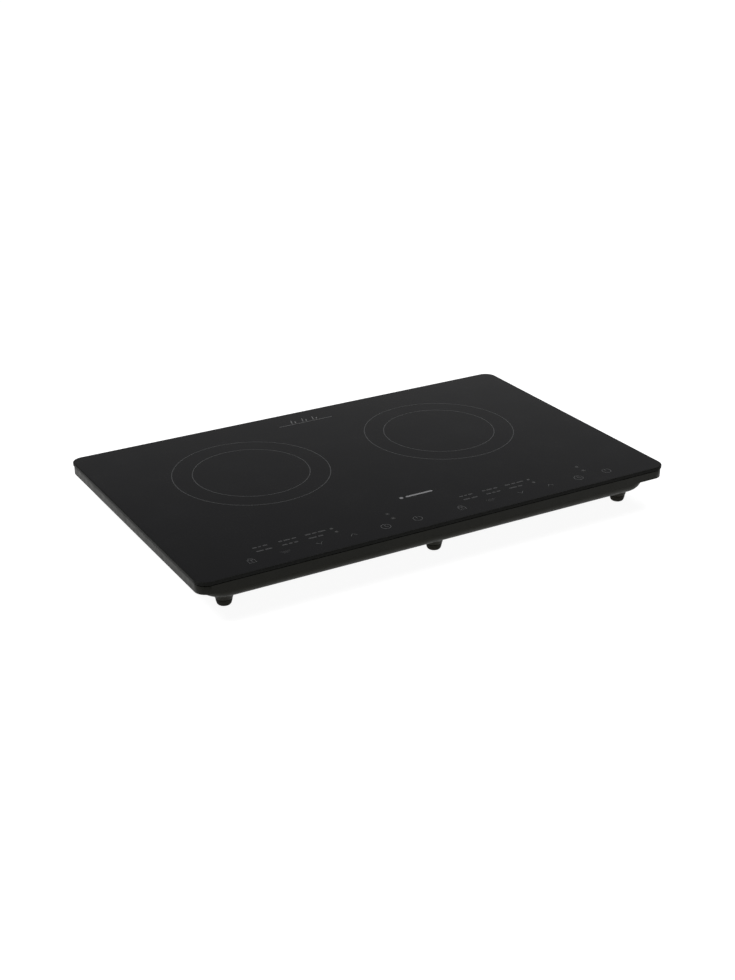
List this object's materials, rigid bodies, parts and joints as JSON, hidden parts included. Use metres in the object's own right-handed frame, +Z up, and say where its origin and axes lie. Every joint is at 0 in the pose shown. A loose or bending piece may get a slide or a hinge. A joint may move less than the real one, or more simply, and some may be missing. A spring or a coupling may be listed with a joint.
{
  "type": "portable induction cooktop",
  "caption": "Free-standing glass-topped induction cooktop with paired round cooking zones, touch keys along the front, a slim plastic case and rubber-soled feet.",
  "frame": {"origin": "middle of the footprint, on the surface that the feet stand on", "axes": "+X to the user's right along the long side, +Y to the back, +Z up"},
  "size_m": [0.58, 0.36, 0.047],
  "materials": {
    "glass_top": "opaque near-black glass ceramic, polished",
    "black_seal": "black silicone bead",
    "frame_plastic": "fine-grained charcoal moulding",
    "housing_plastic": "fine-grained charcoal moulding",
    "foot_plastic": "fine-grained black moulding",
    "foot_rubber": "matt black rubber",
    "zinc_steel": "zinc-plated",
    "black_rubber": "matt black rubber",
    "pale_plastic": "off-white moulding",
    "circuit_board": "green solder mask",
    "copper_winding": "varnished copper wire",
    "yellow_plastic": "yellow wrap",
    "fuse_metal": "nickel-plated",
    "lead_sleeve": "red wire sleeve",
    "lamp_plastic": "tinted lamp lens",
    "black_plastic": "black heat-resistant moulding",
    "ferrite": "dark sintered ferrite",
    "mica": "pressed mica sheet",
    "ceramic_sensor": "off-white ceramic",
    "spring_steel": "bright spring wire",
    "pale_sleeve": "off-white sleeve",
    "heatsink_aluminium": "plain extruded",
    "black_epoxy": "moulded epoxy",
    "capacitor_plastic": "blue box capacitor",
    "fan_plastic": "black glass-filled moulding",
    "pale_board": "white solder mask"
  },
  "bodies": {
    "root": {"glass_top": "glass_top", "glass_seal": "black_seal", "upper_frame": "frame_plastic", "bottom_housing": "housing_plastic", "foot_posts": "foot_plastic", "foot_pads": "foot_rubber", "foot_screws": "zinc_steel", "case_screws": "zinc_steel", "inner_screws": "zinc_steel", "fan_screws": "zinc_steel", "cord_inlet_bush": "black_rubber", "terminal_block": "pale_plastic", "filter_board": "circuit_board", "filter_choke": "copper_winding", "filter_capacitor": "yellow_plastic", "mains_fuse": "fuse_metal", "mains_leads": "lead_sleeve", "indicator_leds": "lamp_plastic", "buzzers": "black_plastic", "coil_former_left": "black_plastic", "coil_former_right": "black_plastic", "coil_winding_left": "copper_winding", "coil_winding_right": "copper_winding", "ferrite_bars_left": "ferrite", "ferrite_bars_right": "ferrite", "mica_sheet_left": "mica", "mica_sheet_right": "mica", "sensor_spring_left": "spring_steel", "sensor_spring_right": "spring_steel", "coil_leads_left": "copper_winding", "coil_leads_right": "copper_winding", "sensor_lead_left": "pale_sleeve", "sensor_lead_right": "pale_sleeve", "power_board_left": "circuit_board", "power_board_right": "circuit_board", "heatsink_left": "heatsink_aluminium", "heatsink_right": "heatsink_aluminium", "power_transistors_left": "black_epoxy", "power_transistors_right": "black_epoxy", "board_capacitors_left": "capacitor_plastic", "board_capacitors_right": "capacitor_plastic", "board_choke_left": "copper_winding", "board_choke_right": "copper_winding", "board_transformer_left": "yellow_plastic", "board_transformer_right": "yellow_plastic", "fan_frame_left": "black_plastic", "fan_frame_right": "black_plastic", "control_tray_left": "pale_plastic", "control_tray_right": "pale_plastic", "touch_board_left": "pale_board", "touch_board_right": "pale_board", "touch_springs_left": "spring_steel", "touch_springs_right": "spring_steel", "ribbon_cable_left": "pale_sleeve", "ribbon_cable_right": "pale_sleeve"},
    "fan_left": {"fan_rotor_left": "fan_plastic"},
    "fan_right": {"fan_rotor_right": "fan_plastic"},
    "sensor_left": {"sensor_plunger_left": "ceramic_sensor"},
    "sensor_right": {"sensor_plunger_right": "ceramic_sensor"}
  },
  "joints": [
    {"name": "fan_left_spin", "type": "hinge", "parent": "root", "child": "fan_left", "pos_m": [-0.215, -0.098, 0.024], "axis": [0, 0, 1], "continuous": true},
    {"name": "fan_right_spin", "type": "hinge", "parent": "root", "child": "fan_right", "pos_m": [0.215, -0.098, 0.024], "axis": [0, 0, 1], "continuous": true},
    {"name": "sensor_left_press", "type": "slide", "parent": "root", "child": "sensor_left", "axis": [0, 0, 1], "range_m": [-0.002, 0], "stiffness_N_per_m": 300, "springref_m": 0.002, "deforming": ["sensor_spring_left"]},
    {"name": "sensor_right_press", "type": "slide", "parent": "root", "child": "sensor_right", "axis": [0, 0, 1], "range_m": [-0.002, 0], "stiffness_N_per_m": 300, "springref_m": 0.002, "deforming": ["sensor_spring_right"]}
  ]
}
